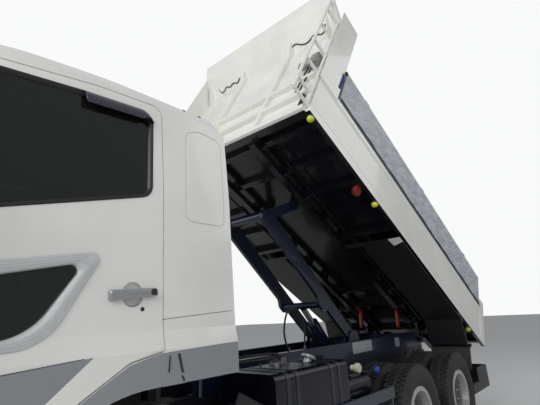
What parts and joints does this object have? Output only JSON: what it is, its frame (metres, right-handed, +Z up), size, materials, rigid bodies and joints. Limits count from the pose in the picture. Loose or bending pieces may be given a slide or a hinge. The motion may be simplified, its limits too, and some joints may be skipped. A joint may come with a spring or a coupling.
{
  "type": "dump truck",
  "caption": "Three-axle cab-over dump truck with its bed raised on a lift-arm hoist, folding side covers, tilting cab, doors, steering and rolling wheels.",
  "frame": {"origin": "on the ground, at the centre of the whole truck as seen from above, bed raised as stored", "axes": "+X forward along the truck, +Y to its left, +Z up"},
  "size_m": [8.0242, 2.74, 5.5233],
  "materials": {
    "cab_white": "gloss paint",
    "trim_grey": "satin plastic",
    "window_dark": "tinted glass",
    "interior_grey": "woven trim",
    "chassis_black": "satin paint",
    "hoist_navy": "satin paint",
    "engine_iron": "cast",
    "tank_black": "gloss paint",
    "strap_steel": "brushed",
    "guard_grey": "satin paint",
    "bumper_grey": "satin plastic",
    "lamp_clear": "polished",
    "lamp_yellow": "polished",
    "mudguard_black": "moulded",
    "bed_black": "gloss paint",
    "bed_white": "gloss paint",
    "prop_red": "gloss paint",
    "cover_grey": "satin paint",
    "chrome_rod": "hard chrome",
    "rim_silver": "silver paint",
    "tyre_rubber": "rubber"
  },
  "bodies": {
    "chassis": {"frame_rails": "chassis_black", "subframe": "hoist_navy", "engine": "engine_iron", "driveline": "chassis_black", "rear_axles": "chassis_black", "front_axle": "chassis_black", "springs": "chassis_black", "fuel_tank": "tank_black", "tank_straps": "strap_steel", "air_tanks": "chassis_black", "battery_box": "trim_grey", "exhaust_box": "strap_steel", "side_guards": "guard_grey", "rear_underrun": "chassis_black", "front_bumper": "bumper_grey", "lamps": "lamp_clear", "front_mudguards": "mudguard_black"},
    "cab": {"cab_shell": "cab_white", "cab_glass": "window_dark", "cab_trim": "trim_grey", "cab_interior": "interior_grey", "mirrors": "mudguard_black"},
    "bed": {"bed_floor": "bed_black", "bed_sides": "bed_white", "bed_front": "bed_white", "bed_mudguards": "mudguard_black", "side_ladder": "bed_white", "cover_drives": "bed_white", "bed_props": "prop_red", "marker_lamps": "lamp_yellow"},
    "tailgate": {"tailgate": "bed_white"},
    "lift_frame": {"lift_frame": "hoist_navy"},
    "tipping_link": {"tipping_link": "hoist_navy"},
    "hoist_barrel": {"hoist_barrel": "hoist_navy"},
    "hoist_rod": {"hoist_rod": "chrome_rod"},
    "door_left": {"door_left": "cab_white", "door_glass_left": "window_dark", "door_trim_left": "trim_grey"},
    "door_right": {"door_right": "cab_white", "door_glass_right": "window_dark", "door_trim_right": "trim_grey"},
    "knuckle_left": {"knuckle_left": "chassis_black"},
    "knuckle_right": {"knuckle_right": "chassis_black"},
    "wheel_front_left": {"rim_front_left": "rim_silver", "tyre_front_left": "tyre_rubber"},
    "wheel_front_right": {"rim_front_right": "rim_silver", "tyre_front_right": "tyre_rubber"},
    "wheel_middle_left": {"rim_middle_left": "rim_silver", "tyre_middle_left": "tyre_rubber"},
    "wheel_middle_right": {"rim_middle_right": "rim_silver", "tyre_middle_right": "tyre_rubber"},
    "wheel_rear_left": {"rim_rear_left": "rim_silver", "tyre_rear_left": "tyre_rubber"},
    "wheel_rear_right": {"rim_rear_right": "rim_silver", "tyre_rear_right": "tyre_rubber"},
    "cover_lower_left": {"cover_lower_left": "cover_grey"},
    "cover_upper_left": {"cover_upper_left": "cover_grey"},
    "cover_lower_right": {"cover_lower_right": "cover_grey"},
    "cover_upper_right": {"cover_upper_right": "cover_grey"}
  },
  "joints": [
    {"name": "bed_tip", "type": "hinge", "parent": "chassis", "child": "bed", "pos_m": [-2.836, 0, 1.18028], "axis": [0, -1, 0], "range_deg": [-30, 20]},
    {"name": "tailgate_swing", "type": "hinge", "parent": "bed", "child": "tailgate", "pos_m": [-3.85065, 0, 1.6337], "axis": [0, 1, 0], "range_deg": [0, 75]},
    {"name": "lift_arm", "type": "hinge", "parent": "chassis", "child": "lift_frame", "pos_m": [-0.983, 0, 1.3], "axis": [0, -1, 0], "range_deg": [-45, 30]},
    {"name": "link_fold", "type": "hinge", "parent": "lift_frame", "child": "tipping_link", "pos_m": [0.55691, 0, 2.69973], "axis": [0, -1, 0], "range_deg": [-46, 68]},
    {"name": "ram_swing", "type": "hinge", "parent": "chassis", "child": "hoist_barrel", "pos_m": [-0.935, 0, 1.113], "axis": [0, -1, 0], "range_deg": [-41, 28]},
    {"name": "ram_stroke", "type": "slide", "parent": "hoist_barrel", "child": "hoist_rod", "axis": [0.6802, 0, 0.733], "range_m": [-0.134, 0.09]},
    {"name": "cab_tilt", "type": "hinge", "parent": "chassis", "child": "cab", "pos_m": [3.767, 0, 0.8], "axis": [0, 1, 0], "range_deg": [0, 45]},
    {"name": "door_left_swing", "type": "hinge", "parent": "cab", "child": "door_left", "pos_m": [3.5145, 1.206, 1.9], "axis": [0, 0, -1], "range_deg": [0, 70]},
    {"name": "door_right_swing", "type": "hinge", "parent": "cab", "child": "door_right", "pos_m": [3.5145, -1.206, 1.9], "axis": [0, 0, 1], "range_deg": [0, 70]},
    {"name": "steer_left", "type": "hinge", "parent": "chassis", "child": "knuckle_left", "pos_m": [2.522, 0.83, 0.522], "axis": [0, 0, 1], "range_deg": [-35, 35]},
    {"name": "steer_right", "type": "hinge", "parent": "chassis", "child": "knuckle_right", "pos_m": [2.522, -0.83, 0.522], "axis": [0, 0, 1], "range_deg": [-35, 35]},
    {"name": "spin_front_left", "type": "hinge", "parent": "knuckle_left", "child": "wheel_front_left", "pos_m": [2.522, 1.03, 0.522], "axis": [0, 1, 0], "continuous": true},
    {"name": "spin_front_right", "type": "hinge", "parent": "knuckle_right", "child": "wheel_front_right", "pos_m": [2.522, -1.03, 0.522], "axis": [0, 1, 0], "continuous": true},
    {"name": "spin_middle_left", "type": "hinge", "parent": "chassis", "child": "wheel_middle_left", "pos_m": [-0.778, 1.03, 0.522], "axis": [0, 1, 0], "continuous": true},
    {"name": "spin_middle_right", "type": "hinge", "parent": "chassis", "child": "wheel_middle_right", "pos_m": [-0.778, -1.03, 0.522], "axis": [0, 1, 0], "continuous": true},
    {"name": "spin_rear_left", "type": "hinge", "parent": "chassis", "child": "wheel_rear_left", "pos_m": [-2.088, 1.03, 0.522], "axis": [0, 1, 0], "continuous": true},
    {"name": "spin_rear_right", "type": "hinge", "parent": "chassis", "child": "wheel_rear_right", "pos_m": [-2.088, -1.03, 0.522], "axis": [0, 1, 0], "continuous": true},
    {"name": "cover_open_left", "type": "hinge", "parent": "bed", "child": "cover_lower_left", "pos_m": [-3.775, 1.177, 1.55267], "axis": [0.866, 0, 0.5], "range_deg": [0, 88]},
    {"name": "cover_fold_left", "type": "hinge", "parent": "cover_lower_left", "child": "cover_upper_left", "pos_m": [-4.059, 1.157, 2.04457], "axis": [0.866, 0, 0.5], "range_deg": [-176.5, 0]},
    {"name": "cover_open_right", "type": "hinge", "parent": "bed", "child": "cover_lower_right", "pos_m": [-3.775, -1.177, 1.55267], "axis": [-0.866, 0, -0.5], "range_deg": [0, 88]},
    {"name": "cover_fold_right", "type": "hinge", "parent": "cover_lower_right", "child": "cover_upper_right", "pos_m": [-4.059, -1.157, 2.04457], "axis": [-0.866, 0, -0.5], "range_deg": [-176.5, 0]}
  ],
  "couplings": [
    {"joint": "lift_arm", "follows": "bed_tip", "ratio": 1.461},
    {"joint": "link_fold", "follows": "bed_tip", "ratio": -2.244},
    {"joint": "ram_swing", "follows": "bed_tip", "ratio": 1.335},
    {"joint": "ram_stroke", "follows": "bed_tip", "m_per_rad": 0.25},
    {"joint": "steer_right", "follows": "steer_left", "ratio": 1},
    {"joint": "cover_fold_left", "follows": "cover_open_left", "ratio": -2},
    {"joint": "cover_fold_right", "follows": "cover_open_right", "ratio": -2}
  ]
}
